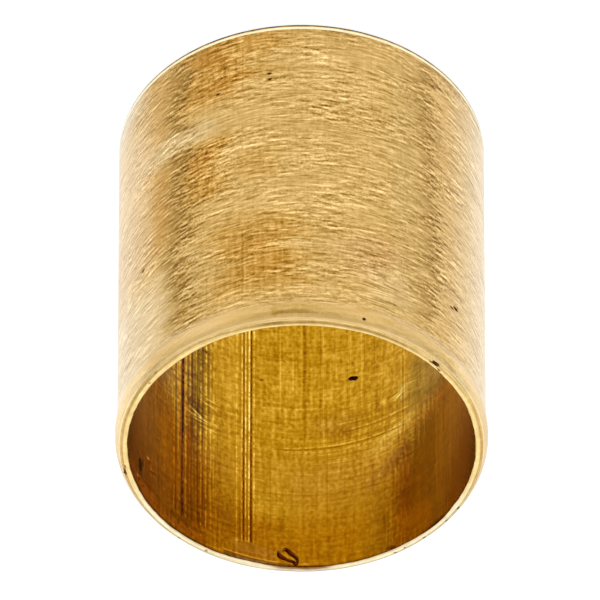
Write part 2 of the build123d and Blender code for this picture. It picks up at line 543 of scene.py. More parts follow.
class Finish:
    """A material with the coordinates that its fields are made from: X Y Z and radius in mm, and u v from the flat map.

    Colours are laid down as they look, from 0 to 255, and turned into what the shader wants at the end."""

    def __init__(self, name):
        self.mat = bpy.data.materials.new(name)
        self.mat.use_nodes = True
        self.tree = self.mat.node_tree
        self.shader = self.tree.nodes["Principled BSDF"]
        tc = self.tree.nodes.new("ShaderNodeTexCoord")
        mm = self.tree.nodes.new("ShaderNodeVectorMath")
        mm.operation = "SCALE"
        mm.inputs["Scale"].default_value = 1000.0
        self.tree.links.new(tc.outputs["Object"], mm.inputs[0])
        self.mm = mm.outputs[0]
        uv = self.tree.nodes.new("ShaderNodeUVMap")
        uv.uv_map = "Flat"
        sep2 = self.tree.nodes.new("ShaderNodeSeparateXYZ")
        self.tree.links.new(uv.outputs[0], sep2.inputs[0])
        self.u, self.v = Field(self.tree, sep2.outputs[0]), Field(self.tree, sep2.outputs[1])
        sep3 = self.tree.nodes.new("ShaderNodeSeparateXYZ")
        self.tree.links.new(self.mm, sep3.inputs[0])
        self.x = Field(self.tree, sep3.outputs[0])
        self.colour = None

    def drifted(self, drift):
        """The position in mm, moved in height by the field drift."""
        c = self.tree.nodes.new("ShaderNodeCombineXYZ")
        self.tree.links.new(drift.socket, c.inputs[2])
        a = self.tree.nodes.new("ShaderNodeVectorMath")
        a.operation = "ADD"
        self.tree.links.new(self.mm, a.inputs[0])
        self.tree.links.new(c.outputs[0], a.inputs[1])
        return a.outputs[0]

    def noise(self, across, along, detail=1.0, rough=0.5, shift=0.0, place=None, lift=0.0):
        """Noise about 0: across is its fineness round the axis, along is its fineness in height."""
        m = self.tree.nodes.new("ShaderNodeVectorMath")
        m.operation = "MULTIPLY_ADD"
        self.tree.links.new(place or self.mm, m.inputs[0])
        m.inputs[1].default_value = (across, across, along)
        m.inputs[2].default_value = (shift, shift * 0.37, -shift + lift * along)
        n = self.tree.nodes.new("ShaderNodeTexNoise")
        n.noise_dimensions = "3D"
        self.tree.links.new(m.outputs[0], n.inputs["Vector"])
        n.inputs["Scale"].default_value = 1.0
        n.inputs["Detail"].default_value = detail
        n.inputs["Roughness"].default_value = rough
        return Field(self.tree, n.outputs[0]).op("MULTIPLY_ADD", 4.0, -2.0)

    def settle(self, last):
        """Ties u and v to the last noise by nothing that shows, which keeps the shader's working memory small."""
        self.u, self.v = self.u.plus(last, 1e-7), self.v.plus(last, 1e-7)

    def hairline(self, across, along, gap, shift, place=None):
        """Fine lines in pairs, a light one beside each dark one."""
        return self.noise(across, along, 0.0, 0.5, shift, place) - self.noise(across, along, 0.0, 0.5, shift, place, gap)

    def noise_uv(self, a, b, detail=1.0, rough=0.5):
        """Noise about 0 from two fields, for the cut end."""
        c = self.tree.nodes.new("ShaderNodeCombineXYZ")
        for k, x in enumerate((a, b)):
            self.tree.links.new(x.socket, c.inputs[k])
        n = self.tree.nodes.new("ShaderNodeTexNoise")
        n.noise_dimensions = "3D"
        self.tree.links.new(c.outputs[0], n.inputs["Vector"])
        n.inputs["Scale"].default_value = 1.0
        n.inputs["Detail"].default_value = detail
        n.inputs["Roughness"].default_value = rough
        return Field(self.tree, n.outputs[0]).op("MULTIPLY_ADD", 4.0, -2.0)

    def lay(self, mask, rgb):
        """Lay a colour over what is there, as thickly as the mask says."""
        if self.colour is None:
            self.colour = tuple(c / 255 for c in rgb) + (1.0,)
            return
        n = self.tree.nodes.new("ShaderNodeMix")
        n.data_type, n.blend_type, n.clamp_factor = "RGBA", "MIX", True
        self.tree.links.new(mask.socket, n.inputs[0])
        if isinstance(self.colour, tuple):
            n.inputs[6].default_value = self.colour
        else:
            self.tree.links.new(self.colour, n.inputs[6])
        n.inputs[7].default_value = tuple(c / 255 for c in rgb) + (1.0,)
        self.colour = n.outputs[2]

    def finished(self, tone, gain):
        """The laid colours, lighter or darker by tone (0 to 255), as the shader's base colour."""
        add = self.tree.nodes.new("ShaderNodeVectorMath")
        add.operation = "ADD"
        self.tree.links.new(self.colour, add.inputs[0])
        self.tree.links.new((tone * (1 / 255)).socket, add.inputs[1])
        low = self.tree.nodes.new("ShaderNodeVectorMath")
        low.operation = "MAXIMUM"
        low.inputs[1].default_value = (0.012, 0.010, 0.006)
        self.tree.links.new(add.outputs[0], low.inputs[0])
        g = self.tree.nodes.new("ShaderNodeGamma")
        g.inputs["Gamma"].default_value = 2.2
        self.tree.links.new(low.outputs[0], g.inputs["Color"])
        k = self.tree.nodes.new("ShaderNodeVectorMath")
        k.operation = "MULTIPLY"
        k.inputs[1].default_value = gain
        self.tree.links.new(g.outputs[0], k.inputs[0])
        return k.outputs[0]

    def spot(self, u0, v0, wu, wv, soft=0.5, lean=0.0):
        """A filled oval round (u0, v0), leaning by lean mm of v for each mm of u."""
        du = (self.u - u0) / wu
        dv = (self.v - v0) / wv
        if lean:
            dv = dv.plus(du, -lean * wu / wv)
        d = (du * du + dv * dv)
        return d.ss((1.0 + soft * 0.5) ** 2, max(1.0 - soft * 0.5, 0.0) ** 2)

    def ring_line(self, v0, half, u0, u1, a, fade=0.15, lean=0.0):
        """A line round the axis at height v0, from u0 to u1."""
        v = self.v.plus(self.u - (u0 + u1) / 2, -lean) if lean else self.v
        return v.peak(v0, half, a) * self.u.within(u0, u1, fade)

    def axis_line(self, u0, half, v0, v1, a, fade=0.15):
        return self.u.peak(u0, half, a) * self.v.within(v0, v1, fade)

    def bump(self, height, distance, strength=1.0):
        n = self.tree.nodes.new("ShaderNodeBump")
        n.inputs["Strength"].default_value = strength
        n.inputs["Distance"].default_value = distance
        self.tree.links.new(height.socket, n.inputs["Height"])
        self.tree.links.new(n.outputs[0], self.shader.inputs["Normal"])

    def out(self, colour, rough, metallic=1.0, coat=0.0, coat_rough=0.2, aniso=0.0, turn=0.0):
        p = self.shader
        self.tree.links.new(colour, p.inputs["Base Color"])
        self.tree.links.new(rough.socket, p.inputs["Roughness"])
        p.inputs["Metallic"].default_value = metallic
        p.inputs["Coat Weight"].default_value = coat
        p.inputs["Coat Roughness"].default_value = coat_rough
        p.inputs["Anisotropic"].default_value = aniso
        p.inputs["Anisotropic Rotation"].default_value = turn
        if aniso:
            t = self.tree.nodes.new("ShaderNodeTangent")
            t.direction_type, t.axis = "RADIAL", "Z"
            self.tree.links.new(t.outputs[0], p.inputs["Tangent"])
        return self.mat


def brushed_outside():
    f = Finish("brass_brushed")
    # hairlines round the axis, from coarse to fine; each noise is about 0 with a spread of about a half
    broad = f.noise(0.40, 2.4, 1.0, 0.55)
    wander = f.noise(0.8, 1.1, 1.0, 0.5, 11.0)
    place1 = f.drifted((f.x * 0.045).plus(wander, 0.050))
    place2 = f.drifted((f.x * -0.060).plus(wander, 0.035))
    hair1 = f.hairline(4.0, 16.0, 0.058, 3.1, place1)
    hair2 = f.hairline(6.8, 23.0, 0.048, 7.7, place2)
    dash = f.noise(10.0, 21.0, 0.0, 0.5, 1.3)
    grain = f.noise(26.0, 31.0, 0.0, 0.5, 5.9)
    axial = f.noise(15.0, 2.6, 0.0, 0.5, 6.6)
    cloud = f.noise(0.75, 0.75, 2.0, 0.5, 4.0)
    busy = f.noise(1.0, 2.2, 1.0, 0.5, 9.0)
    f.settle(hair2)
    lines = (hair1 * 0.36).plus(hair2, 0.34)
    mixed = lines.plus(dash, 0.28).plus(grain, 0.44)

    # edges of the stains follow the hairlines
    uw = f.u.plus(broad, 0.26).plus(cloud, 0.16).plus(mixed, 0.16)
    vw = f.v.plus(cloud, 0.10).plus(hair1, 0.045)

    def stain(u0, u1, v0, v1, su, sv):
        return uw.within(u0, u1, su) * vw.within(v0, v1, sv)

    def most(*masks):
        m = masks[0]
        for x in masks[1:]:
            m = m.max(x)
        return m

    amber = most(
        stain(-2.30, -1.00, 0.05, 1.56, 0.42, 0.16) * 0.92,
        stain(-1.60, -0.20, 0.06, 0.60, 0.32, 0.12) * 0.85,
        stain(-2.36, -1.40, 2.40, 3.80, 0.34, 0.20) * 0.94,
        stain(-1.50, -0.35, 0.10, 1.35, 0.40, 0.20) * 0.32,
        stain(-1.66, -0.10, 4.60, 6.40, 0.40, 0.26) * 0.74,
        stain(-1.05, -0.14, 5.30, 6.12, 0.20, 0.14) * 0.92,
        stain(-3.05, -2.50, 2.50, 4.40, 0.30, 0.30) * 0.85,
        stain(2.60, 3.10, 1.60, 3.20, 0.36, 0.50) * 0.12,
        stain(-3.10, -2.40, 0.15, 1.60, 0.40, 0.20) * 0.50,
        stain(-1.10, -0.40, 3.00, 3.60, 0.30, 0.20) * 0.45,
    )
    core = most(
        stain(-1.95, -1.25, 0.25, 0.70, 0.30, 0.12),
        stain(-1.70, -0.95, 0.95, 1.35, 0.30, 0.10) * 0.8,
        stain(-2.20, -1.55, 2.60, 3.05, 0.30, 0.12) * 0.8,
        stain(-1.10, -0.30, 5.10, 5.42, 0.22, 0.08) * 0.6,
        stain(-1.05, -0.30, 5.62, 5.95, 0.22, 0.08) * 0.6,
    )
    rose = most(
        stain(0.60, 1.90, 4.95, 6.05, 0.36, 0.24) * 0.8,
        stain(2.70, 3.30, 1.6, 6.2, 0.40, 0.6) * 0.20,
        stain(-4.0, -3.1, 0.8, 4.4, 0.45, 0.5) * 0.35,
    )
    # painted reflection: a dark stripe at each side, where the metal reflects the dark gaps beside the surround's light
    painted_dark_stripe_l = stain(-2.58, -2.10, 0.05, 6.6, 0.26, 0.40)
    painted_dark_stripe_r = stain(2.20, 2.58, 0.10, 6.40, 0.20, 0.45)
    olive_m = most(
        stain(1.60, 2.30, 0.6, 6.4, 0.30, 0.5) * 0.38,
        stain(-2.75, -1.60, 4.7, 6.5, 0.40, 0.30) * 0.40,
    )
    pale = stain(-3.50, -1.60, 1.84, 2.32, 0.36, 0.10)
    pale_low = stain(-4.6, -2.65, 5.05, 6.8, 0.42, 0.36)
    side = f.u.abs().plus(mixed, 0.05).plus(cloud, 0.05)

    f.lay(None, (214, 176, 107))
    f.lay(cloud.ss(0.0, 1.4) * 0.5, (219, 178, 102))
    f.lay(amber, (195, 147, 66))
    f.lay(core * 0.7, (189, 134, 52))
    f.lay(rose * 0.9, (208, 166, 106))
    f.lay(olive_m, (196, 166, 104))
    # the painted dark reflection stripes at the sides
    f.lay(painted_dark_stripe_l * 0.95, (173, 135, 63))
    f.lay(painted_dark_stripe_r * 0.92, (184, 147, 80))
    f.lay(pale * 0.85, (219, 189, 134))
    f.lay(pale_low * 0.80, (228, 204, 158))
    # painted highlight: paler towards both sides, where the metal reflects the white surround at a grazing angle, then
    # back to the plain brass colour round the back
    f.lay(f.u.plus(mixed, 0.05).within(2.98, 5.6, 0.45) * 0.42, (232, 204, 152))
    f.lay(f.u.plus(mixed, 0.05).within(-5.6, -3.05, 0.40) * f.v.within(1.1, 2.2, 0.5) * 0.35, (236, 208, 160))
    f.lay(side.ss(2.90, 4.55), (240, 219, 182))
    f.lay(f.u.within(-5.6, -3.15, 0.45) * vw.within(0.9, 4.7, 0.5) * 0.55, (234, 202, 150))
    f.lay(f.u.within(-5.6, -3.30, 0.40) * vw.ss(0.7, 0.2) * 0.6, (238, 224, 202))
    f.lay(side.ss(5.02, 5.90), (214, 178, 112))
    f.lay(stain(0.55, 1.25, 0.60, 1.80, 0.25, 0.25) * 0.8, (222, 184, 118))
    f.lay(stain(1.20, 2.00, 5.70, 6.50, 0.30, 0.25) * 0.6, (220, 190, 132))

    # how strongly the hairlines are cut, in levels of brightness
    near_end = f.v.ss(6.66, 6.84)
    amp = (busy * 22.0 + 30.0).max(12.0).plus(amber, 7.0).plus(rose, 6.0).plus(painted_dark_stripe_l, 10.0).plus(painted_dark_stripe_r, 12.0).plus(pale_low, -4.0)
    amp = amp * f.v.ss(5.6, 6.5, 1.0, 0.84) * f.v.ss(6.68, 6.84, 1.0, 0.30) * side.ss(2.7, 3.8, 1.0, 0.66)
    middle = side.ss(2.6, 1.6)
    tone = mixed * amp + axial * middle * (amber * 8.0 + 6.0) * f.v.ss(6.85, 6.65)
    # sparse longer scratches, light and dark, and short dark dashes in the painted dark stripes at the sides
    long1 = f.noise(1.7, 27.0, 0.0, 0.5, 12.0, place2)
    long2 = f.noise(2.8, 34.0, 0.0, 0.5, 15.0, place1)
    away = f.v.ss(6.80, 6.62)
    tone = tone + long1.ss(0.55, 1.05, 0.0, 28.0) * away + long1.ss(-0.62, -1.10, 0.0, -28.0) * away
    tone = tone + long2.ss(0.58, 1.00, 0.0, 24.0) * away + long2.ss(-0.60, -1.05, 0.0, -30.0) * away
    tone = tone.plus(broad, 7.0).plus(cloud, 3.0)
    tone = tone + hair2.ss(0.10, -0.70) * painted_dark_stripe_l.max(painted_dark_stripe_r) * -22.0 + painted_dark_stripe_r * 5.0 + painted_dark_stripe_l * 4.0

    # scratches put in one by one: height, half width, from, to, levels, lean
    for v0, h, u0, u1, a, lean in (
        (2.855, 0.042, -1.45, -0.72, 54, 0.00),
        (2.805, 0.022, -1.05, -0.20, 30, 0.02),
        (2.930, 0.022, -1.25, -0.30, -24, 0.01),
        (3.070, 0.020, -1.10, -0.40, -20, 0.00),
        (1.715, 0.018, -0.86, 0.22, -40, 0.00),
        (1.685, 0.018, -0.86, 0.22, 12, 0.00),
        (2.690, 0.022, 1.45, 2.28, 28, 0.00),
        (2.750, 0.018, 1.20, 2.10, -18, 0.00),
        (2.885, 0.018, -0.10, 0.95, 20, 0.00),
        (0.630, 0.024, -2.10, -0.70, 28, -0.05),
        (0.880, 0.024, -2.20, -1.30, 26, -0.04),
        (1.480, 0.026, -2.60, -1.20, 28, -0.05),
        (1.530, 0.018, -2.30, -1.40, -24, -0.05),
        (3.490, 0.028, -2.05, -1.05, 26, -0.03),
        (4.490, 0.020, -2.70, -1.85, -22, -0.04),
        (5.300, 0.022, -0.85, -0.05, 26, 0.00),
        (5.730, 0.022, -0.80, -0.10, 26, 0.00),
        (5.490, 0.026, -0.90, -0.15, -16, 0.00),
        (4.100, 0.020, -0.20, 0.70, 22, 0.00),
        (6.600, 0.018, -1.12, -0.80, 28, 0.02),
        (6.652, 0.016, -1.12, -0.84, -36, 0.00),
        (6.690, 0.016, -1.12, -0.84, 26, 0.00),
        (6.727, 0.016, -1.06, -0.80, -40, 0.02),
        (6.757, 0.015, -1.06, -0.76, 22, 0.02),
        (6.668, 0.020, -0.66, -0.44, 36, 0.00),
        (6.714, 0.018, -0.58, -0.28, -46, -0.02),
        (6.745, 0.015, -0.90, -0.50, 22, 0.02),
        (6.768, 0.014, -0.72, -0.54, -30, 0.00),
        (6.800, 0.018, -0.72, -0.52, -40, 0.00),
        (6.838, 0.018, -0.72, -0.48, 26, 0.00),
        (6.690, 0.018, 0.28, 0.50, 26, 0.02),
        (6.732, 0.018, 0.22, 0.58, -48, 0.00),
        (6.765, 0.016, 0.30, 0.55, 22, 0.00),
        (6.800, 0.014, 0.38, 0.52, -22, 0.00),
        (6.590, 0.016, 1.36, 1.78, -32, 0.02),
        (6.630, 0.015, 1.40, 1.75, 20, 0.02),
        (6.675, 0.018, 1.62, 1.78, -42, 0.00),
        (6.730, 0.016, 1.20, 1.36, -34, 0.00),
        (6.500, 0.016, 1.12, 1.50, -28, 0.00),
        (6.240, 0.022, -2.40, -1.70, -22, -0.03),
        (5.400, 0.020, 1.00, 1.70, -18, 0.03),
    ):
        tone = tone + f.ring_line(v0, h, u0, u1, float(a), 0.10, lean)
    # faint lines along the axis
    for u0, h, v0, v1, a in (
        (-1.035, 0.032, 4.80, 6.55, -22),
        (-0.985, 0.022, 5.00, 6.32, 9),
        (-1.035, 0.026, 0.35, 1.48, -17),
        (-0.300, 0.026, 5.25, 6.22, -15),
        (-1.715, 0.024, 5.66, 6.48, -13),
        (1.240, 0.022, 0.55, 1.88, -11),
        (-1.035, 0.024, 2.05, 3.3, -9),
    ):
        tone = tone + f.axis_line(u0, h, v0, v1, float(a), 0.12)

    # the smooth stretch beside the cut end, with soft bands, painted highlights where the rolled edge catches light and
    # a painted dark reflection line on the roll in front
    bands = f.noise(0.5, 6.0, 1.0, 0.5, 2.0)
    tone = tone + near_end * (bands * 15.0)
    tone = tone + f.v.ss(6.72, 6.88) * 4.0
    f.lay(f.v.ss(6.62, 6.82) * side.within(1.45, 3.00, 0.30) * 0.75, (198, 168, 112))
    # painted highlight: paler towards the sides near the cut end
    f.lay(f.v.ss(6.70, 6.86) * side.ss(2.90, 3.30) * side.ss(5.80, 5.00) * 0.65, (246, 226, 186))
    f.lay(near_end * 0.5, (227, 192, 127))
    # painted shade: a dark line on the roll in front, the dark reflection that the roll's shape gives only in part
    dim = f.v.ss(6.920, 6.992) * f.v.ss(7.028, 7.012)
    uneven = (bands * 0.35 + 1.0).plus(dash, 0.18)
    tone = tone + dim * uneven * (f.u.within(-0.46, 0.16, 0.14) * -36.0 + f.u.within(-1.05, 0.62, 0.40) * -13.0)
    f.lay(f.spot(-0.46, 6.930, 0.055, 0.110, 0.9) * 0.6, (196, 158, 82))
    f.lay(f.spot(0.02, 6.900, 0.46, 0.060, 1.0) * axial.ss(-0.8, 0.8, 0.25, 0.75), (200, 164, 88))
    f.lay(f.spot(1.05, 6.795, 0.13, 0.050, 1.0) * 0.7, (208, 164, 86))
    f.lay(f.spot(1.54, 6.885, 0.13, 0.028, 1.0) * 0.7, (208, 166, 90))
    # painted highlight along the top of the rolled edge
    tone = tone + f.v.ss(7.030, 7.085) * 8.0 + f.v.ss(7.078, 7.094) * 26.0

    # the foot: painted shade at the edge, where the round faces the floor under it, then a light painted highlight
    # line, the floor reflected in the round, then a tan one
    tone = tone - f.v.within(0.120, 0.200, 0.018) * 12.0
    painted_foot_highlight = f.v.within(0.078, 0.132, 0.008)
    f.lay(painted_foot_highlight * 0.95, (255, 240, 202))
    tone = tone * (1 - painted_foot_highlight * 0.8) + painted_foot_highlight * 24.0
    # painted shade along the foot's edge
    tone = tone - f.v.ss(0.070, 0.054) * 62.0
    f.lay(f.v.ss(0.060, 0.042) * 0.9, (100, 90, 72))

    # pits
    pit = None
    for arc, zz, w, h, d in PITS_OUT:
        m = f.spot(arc, zz, w * 0.95, h * 0.95, 0.8) * min(1.0, d / 0.014)
        pit = m if pit is None else pit.max(m)
    f.lay(pit, (84, 46, 18))
    tone = tone * (1 - pit)

    col = f.finished(tone, (0.935, 0.915, 0.88))
    rough = (0.34 - mixed * 0.035).plus(amber, 0.04).plus(painted_dark_stripe_l, 0.04).plus(near_end, -0.05).max(0.16) + pit * 0.3
    f.bump(mixed.plus(broad, 0.3), 2.2e-6)
    return f.out(col, rough, aniso=0.45, turn=0.25)


def cut_end():
    f = Finish("brass_cut_edge")
    # turned lines that follow the round, and short chatter across it
    turned = f.noise_uv(f.u * 0.9, f.v * 62.0, 1.0, 0.5)
    turned2 = f.noise_uv(f.u * 2.6 + 5.0, f.v * 34.0, 1.0, 0.5)
    chatter = f.noise(9.0, 9.0, 1.0, 0.5)
    cloud = f.noise(0.9, 0.9, 1.0, 0.5, 3.0)
    r = f.v.plus(turned2, 0.003)
    front = f.u.abs()                       # 0 at the camera's side, 10 at the far side
    tone = (turned * 13.0).plus(turned2, 11.0).plus(chatter, 11.0).plus(cloud, 6.0)
    f.lay(None, (255, 222, 150))
    # painted highlight: paler towards the far side of the cut end
    f.lay(front.ss(5.5, 6.8), (255, 240, 200))
    # the slope outside the land, darker: tarnish with painted shade in the channel
    slope = r.within(3.066, 3.094, 0.008)
    much = f.u.within(-0.80, 2.10, 0.35) * 0.85
    much = much.max((front.ss(3.2, 4.2) * 0.45)).max(f.u.within(-4.6, -3.2, 0.25) * 0.55)
    f.lay(slope * much.plus(cloud, 0.12), (186, 146, 80))
    f.lay(r.within(3.070, 3.090, 0.007) * f.u.within(-3.6, -0.6, 0.35) * 0.62, (190, 152, 88))
    # painted highlight along the crest, a little stronger towards the front
    f.lay(r.ss(3.094, 3.112) * 0.6, (238, 204, 140))
    tone = tone + r.ss(3.106, 3.118) * front.ss(4.6, 3.4) * 4.0
    # dull stretch at the far side, where the lip is thin, and a thin painted dark outline beyond the land, shade along
    # the far edge
    far = front.ss(5.0, 6.0)
    outline = far * r.ss(3.102, 3.116)
    f.lay(outline * cloud.ss(-1.2, 0.6, 0.55, 0.95), (160, 140, 104))
    tone = tone * (1 - outline * 0.6)
    dull = front.ss(9.36, 9.60)
    f.lay(dull * 0.88, (222, 202, 182))
    # painted shadow along the bore's edge at the far side
    f.lay(dull * r.ss(3.040, 3.012) * 0.80, (160, 122, 78))
    # small dark specks
    speck = None
    for arc, rr, w, h, k in ((2.83, 3.030, 0.030, 0.012, 0.8), (-3.25, 3.045, 0.030, 0.012, 0.4), (-2.99, 3.082, 0.050, 0.014, 0.4),
                             (2.690, 3.080, 0.080, 0.019, 1.0), (2.800, 3.042, 0.060, 0.008, 0.8), (2.58, 3.062, 0.05, 0.008, 0.6), (-5.640, 3.088, 0.085, 0.020, 0.9), (-5.480, 3.060, 0.045, 0.012, 0.7), (8.218, 3.074, 0.030, 0.026, 0.9),
                             (8.002, 3.056, 0.022, 0.018, 0.8), (7.586, 3.080, 0.034, 0.026, 0.9), (7.010, 3.084, 0.030, 0.024, 0.8),
                             (6.633, 3.090, 0.034, 0.026, 0.9), (-8.16, 3.040, 0.030, 0.020, 0.5), (-7.60, 3.090, 0.028, 0.020, 0.6)):
        m = f.spot(arc, rr, w, h, 0.8) * k
        speck = m if speck is None else speck.max(m)
    f.lay(speck * 0.9, (96, 62, 28))
    tone = tone * (1 - speck)
    col = f.finished(tone, (0.85, 0.84, 0.81))
    rough = 0.26 - turned * 0.03 + slope * 0.08
    f.bump(turned * 0.5 + chatter * 0.3, 1.6e-6)
    return f.out(col, rough)


def drawn_bore():
    f = Finish("brass_drawn_bore")
    # fine draw lines along the axis, faint turned lines across them
    draw0 = f.noise(3.0, 0.30, 1.0, 0.5, 6.0)
    draw1 = f.noise(13.0, 0.70, 1.0, 0.5, 2.0)
    draw2 = f.noise(20.0, 2.2, 0.0, 0.5, 3.0)
    weave = f.noise(15.0, 11.0, 0.0, 0.5, 8.0)
    grain = f.noise(22.0, 22.0, 0.0, 0.5, 1.0)
    cross = f.noise(1.1, 13.0, 1.0, 0.5, 5.0)
    cloud = f.noise(0.9, 0.9, 2.0, 0.5, 2.0)
    patchy = f.noise(1.2, 1.2, 1.0, 0.5, 3.0)
    f.settle(patchy)
    lines = (draw1 * 0.50).plus(draw2, 0.34)
    mixed = lines.plus(weave, 0.56).plus(grain, 0.34).plus(cross, 0.58)

    right = f.u.plus(draw0, 0.03)
    vw = f.v.plus(cloud, 0.10).plus(cross, 0.03)
    uw = f.u.plus(cloud, 0.12).plus(draw1, 0.04)

    def stain(u0, u1, v0, v1, su, sv):
        return uw.within(u0, u1, su) * vw.within(v0, v1, sv)

    f.lay(None, (196, 143, 28))
    # orange brown lower down in the middle
    f.lay(vw.ss(4.30, 5.20) * 0.8, (194, 138, 32))
    f.lay(vw.ss(5.70, 6.50) * 0.7, (184, 123, 8))
    # left side, browner
    f.lay(uw.ss(-1.10, -2.10) * 0.80, (168, 117, 0))
    f.lay(right.ss(-2.30, -2.95) * vw.ss(2.4, 4.6), (163, 120, 0))
    f.lay(uw.ss(-2.90, -3.70) * vw.ss(4.0, 5.4) * 0.8, (158, 120, 0))
    f.lay(uw.within(-1.80, -1.45, 0.15) * vw.ss(4.2, 5.2) * 0.22, (148, 98, 2))
    f.lay(f.u.within(-2.84, -2.42, 0.08) * vw.within(3.8, 5.6, 0.3) * 0.5, (196, 150, 0))
    f.lay(f.u.within(-3.05, -2.86, 0.06) * vw.ss(4.8, 5.4) * 0.35, (140, 98, 0))
    f.lay(uw.within(-2.60, -1.95, 0.15) * vw.ss(5.7, 6.6) * 0.45, (132, 100, 8))
    # right side: haze above, then painted shadow, darker below a slanting edge
    slant = f.v.plus(f.u, -0.36)
    haze = stain(2.02, 3.05, 2.80, 4.05, 0.07, 0.30)
    haze2 = uw.within(1.78, 2.00, 0.08) * vw.within(3.25, 3.70, 0.12) * 0.6
    f.lay(haze * 0.80, (157, 116, 14))
    f.lay(haze2, (204, 164, 78))
    f.lay(stain(2.34, 2.90, 3.25, 3.66, 0.10, 0.14) * 0.6, (190, 148, 58))
    f.lay(f.spot(1.64, 4.40, 0.46, 0.17, 0.9, -0.60) * 0.65, (224, 178, 72))
    dark = f.v.plus(f.u, 0.30).plus(cloud, 0.08)
    f.lay(right.ss(1.96, 2.06) * dark.ss(5.02, 5.26), (176, 134, 2))
    f.lay(right.ss(2.90, 3.60) * dark.ss(5.30, 6.10) * 0.85, (188, 148, 0))
    f.lay(right.within(1.86, 2.55, 0.08) * f.v.ss(6.20, 6.60) * 0.8, (206, 154, 6))
    smudge = f.spot(1.56, 5.10, 0.42, 0.21, 0.8, -0.75)
    f.lay(smudge * 0.70, (170, 116, 38))
    # painted shadow lower down on the right, below the slanting edge, then stains
    f.lay(uw.ss(0.92, 1.40) * uw.ss(2.15, 1.95) * dark.ss(5.75, 6.45) * (1 - f.u.ss(1.55, 1.85) * f.v.ss(6.1, 6.5)) * 0.80, (164, 112, 18))
    f.lay(stain(-1.75, -0.85, 5.9, 6.75, 0.25, 0.3) * 0.75, (166, 108, 6))
    f.lay(stain(-0.85, -0.40, 6.1, 6.9, 0.18, 0.25) * 0.60, (170, 108, 4))
    f.lay(stain(-2.10, -1.80, 0.0, 6.6, 0.07, 0.4) * vw.ss(3.9, 4.7, 0.46, 0.14), (116, 84, 0))
    f.lay(stain(-1.98, -1.62, 0.0, 4.3, 0.06, 0.4) * 0.26, (128, 94, 0))
    f.lay(stain(-1.05, -0.20, 4.85, 5.85, 0.25, 0.25) * 0.85, (206, 154, 40))
    f.lay(stain(0.50, 1.00, 3.85, 4.20, 0.12, 0.08) * 0.45, (160, 104, 10))
    f.lay(stain(0.20, 0.98, 3.50, 4.02, 0.20, 0.14) * 0.40, (160, 108, 24))
    f.lay(stain(-0.40, 1.60, 4.50, 5.60, 0.45, 0.35) * 0.40, (190, 134, 44))
    # a rubbed patch above the far lip, brown round the lip itself
    top = f.v.plus(draw1, 0.012).plus((f.u + 0.95).max(0.0), -0.30)
    tan = f.u.within(-1.26, -0.44, 0.05) * top.ss(6.63, 6.68) * f.v.ss(7.02, 6.97)
    f.lay(tan * 0.85, (182, 124, 56))
    f.lay(f.u.within(-1.26, -0.44, 0.05) * top.peak(6.655, 0.035) * 0.55, (206, 152, 72))
    # painted highlight inside the curl's loop
    inside = f.spot(-0.235, 6.885, 0.120, 0.030, 0.8, 0.60)
    f.lay(inside * 0.8, (216, 160, 70))
    ragged = f.v.plus(draw2, 0.05).plus(cloud, 0.05)
    f.lay(uw.within(-4.2, -3.0, 0.2) * ragged.ss(6.70, 6.78) * f.v.ss(7.05, 7.0) * 0.70, (232, 176, 118))
    f.lay(uw.within(-2.85, -1.75, 0.15) * ragged.ss(6.84, 6.90) * f.v.ss(7.06, 7.02) * 0.65, (206, 150, 82))

    # how strongly the lines are cut
    amp = (patchy * 6.0 + 25.0) * vw.ss(4.2, 4.9, 1.0, 0.72) * uw.ss(1.9, 2.3, 1.0, 0.55) * uw.ss(-1.2, -1.9, 1.0, 1.30) * uw.ss(-2.5, -3.1, 1.0, 0.62)
    tone = (mixed * amp).plus(draw0, 7.0).plus(cloud, 3.0)

    uneven = (weave * 0.55 + 1.0).plus(grain, 0.30)
    ends = f.v.ss(6.72, 6.62)
    # draw lines put in one by one, full length: arc, half width, levels
    strong, strong_left = None, None
    for u0, h, a in (
        (-1.1560, 0.022, 26), (-1.0950, 0.020, -20), (-1.0570, 0.018, 36), (-1.0210, 0.022, -62), (-0.9915, 0.015, 50), (-0.9560, 0.020, -26),
        (-0.9250, 0.022, 62), (-0.8855, 0.026, -66), (-0.8380, 0.022, 34),
        (-2.4870, 0.024, 34), (-2.4380, 0.022, -46), (-2.3520, 0.022, 60), (-2.2680, 0.042, -92), (-2.1970, 0.022, 58), (-2.1500, 0.022, -30),
        (-2.1060, 0.018, 36), (-2.0580, 0.026, -36), (-1.9750, 0.020, 24), (-1.9350, 0.022, -26), (-1.8700, 0.020, 46), (-1.8260, 0.020, -40),
        (-1.7590, 0.022, 42), (-1.7140, 0.022, -24), (-1.6650, 0.020, 28), (-1.6000, 0.018, 16), (-1.5200, 0.020, -12),
    ):
        m = f.u.peak(u0, h, float(a))
        if u0 > -1.3:
            strong = m if strong is None else strong + m
        else:
            strong_left = m if strong_left is None else strong_left + m
    tone = tone + strong * uneven * ends * f.v.ss(5.2, 6.4, 1.25, 0.95)
    tone = tone + strong_left * uneven * ends * f.v.ss(3.9, 5.4, 1.24, 0.84)
